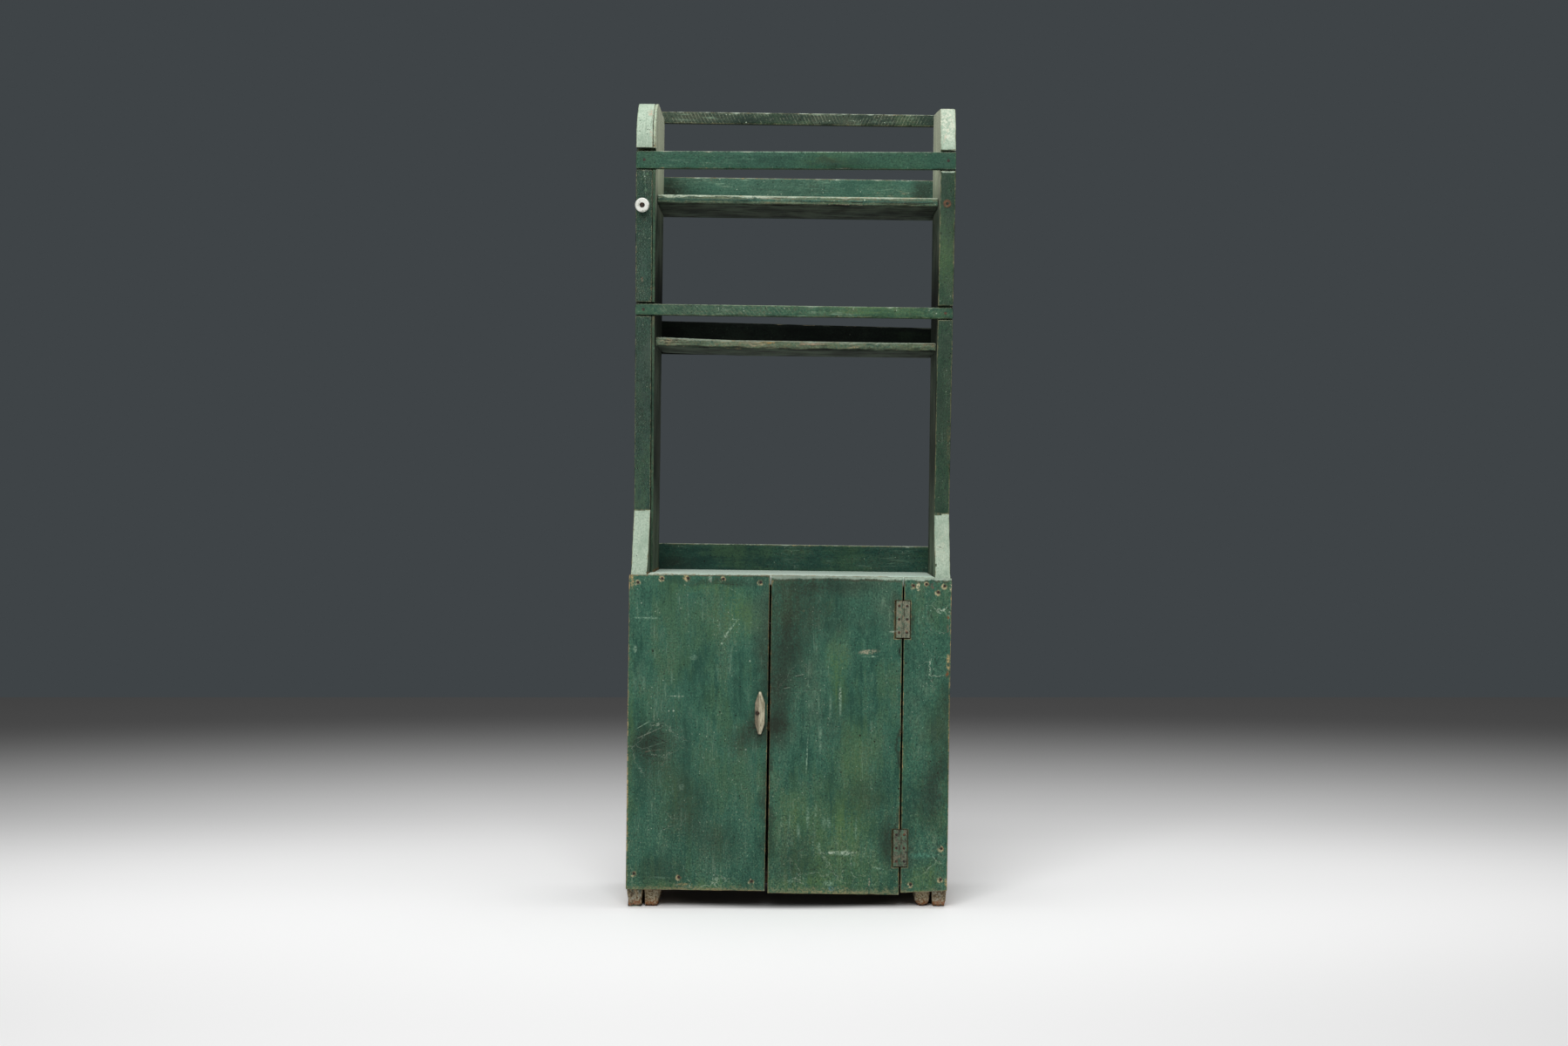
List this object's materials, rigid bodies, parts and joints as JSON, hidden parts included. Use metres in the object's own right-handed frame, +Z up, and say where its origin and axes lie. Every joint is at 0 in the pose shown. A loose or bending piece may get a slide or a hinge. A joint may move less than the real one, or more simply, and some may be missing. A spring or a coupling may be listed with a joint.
{
  "type": "jelly cupboard",
  "caption": "Tall narrow plank hutch with two open railed shelves and a counter over a one-door cupboard closed by a wooden turn button.",
  "frame": {"origin": "on the floor, under the middle of the overall box", "axes": "+Z up, +Y towards the back, +X to the right of someone facing the door"},
  "size_m": [0.7264, 0.3435, 1.7944],
  "materials": {
    "green_paint": "old dark green oil paint on pine, worn and dusty, satin",
    "pale_paint": "thin chalky green paint worn to bare pine along the edges",
    "worn_wood": "rough-sawn pine with traces of green and grey paint",
    "bare_wood": "unpainted aged pine",
    "whittled_wood": "knife-cut weathered pine",
    "hinge_steel": "rusted, with remains of green paint",
    "nail_iron": "rusted",
    "porcelain": "white glaze, chipped and grimy"
  },
  "bodies": {
    "carcass": {"side_board_left": "green_paint", "side_board_right": "green_paint", "fixed_front_board": "green_paint", "hinge_stile": "green_paint", "front_rail_top": "green_paint", "front_rail_middle": "green_paint", "side_lining_left": "green_paint", "counter_board": "pale_paint", "top_shelf": "pale_paint", "middle_shelf": "pale_paint", "back_rail_top": "worn_wood", "back_rail_second": "worn_wood", "back_rail_third": "worn_wood", "back_board_4": "worn_wood", "back_board_1": "bare_wood", "back_board_2": "bare_wood", "back_board_3": "bare_wood", "cupboard_floor": "bare_wood", "inner_shelf": "bare_wood", "shelf_cleat_left": "bare_wood", "shelf_cleat_right": "bare_wood", "floor_bearer_left": "bare_wood", "floor_bearer_right": "bare_wood", "hinge_top_stile_leaf": "hinge_steel", "hinge_top_pin": "hinge_steel", "hinge_top_stile_screws": "hinge_steel", "hinge_bottom_stile_leaf": "hinge_steel", "hinge_bottom_pin": "hinge_steel", "hinge_bottom_stile_screws": "hinge_steel", "nails_fixed_board": "nail_iron", "nails_hinge_stile": "nail_iron", "nails_side_left": "nail_iron", "nails_side_right": "nail_iron", "nails_front_rails": "nail_iron", "nails_back_left": "nail_iron", "nails_back_right": "nail_iron", "nails_left_upright": "nail_iron", "washer_right_upright": "nail_iron", "button_pivot_nail": "nail_iron", "knob_screw": "nail_iron", "porcelain_knob": "porcelain"},
    "door": {"door_board": "green_paint", "hinge_top_door_leaf": "hinge_steel", "hinge_bottom_door_leaf": "hinge_steel", "hinge_top_door_screws": "hinge_steel", "hinge_bottom_door_screws": "hinge_steel"},
    "turn_button": {"turn_button": "whittled_wood"}
  },
  "joints": [
    {"name": "door_hinge", "type": "hinge", "parent": "carcass", "child": "door", "pos_m": [0.24009, -0.1555, 0.38074], "axis": [0.0131, 0, 0.9999], "range_deg": [0, 100]},
    {"name": "button_turn", "type": "hinge", "parent": "carcass", "child": "turn_button", "pos_m": [-0.07393, -0.1645, 0.42715], "axis": [0, -1, 0], "continuous": true}
  ]
}
